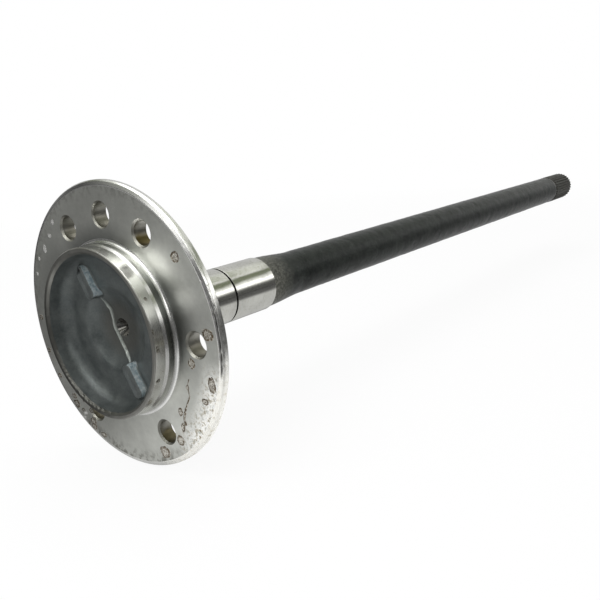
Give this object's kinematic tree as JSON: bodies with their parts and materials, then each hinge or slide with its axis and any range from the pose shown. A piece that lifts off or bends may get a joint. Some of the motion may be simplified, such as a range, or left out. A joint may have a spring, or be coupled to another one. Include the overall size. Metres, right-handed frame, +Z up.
{
  "type": "axle shaft",
  "caption": "Rear axle shaft for a light truck: a drilled wheel flange with a hollow pilot boss, forged in one piece with a long round shaft that ends in splines.",
  "frame": {"origin": "centre of the flange face that the brake drum and the wheel bolt against, on the axle's axis", "axes": "+Y along the axle from the flange to the splined end, +Z up through the access hole, +X to the right as seen from the wheel side"},
  "size_m": [0.1799, 0.8154, 0.18],
  "materials": {
    "steel": "turned and ground bright on the flange, pilots and bearing seat, dark forging scale in the cavity and along the shaft"
  },
  "bodies": {
    "root": {"axle_shaft": "steel"}
  },
  "joints": []
}
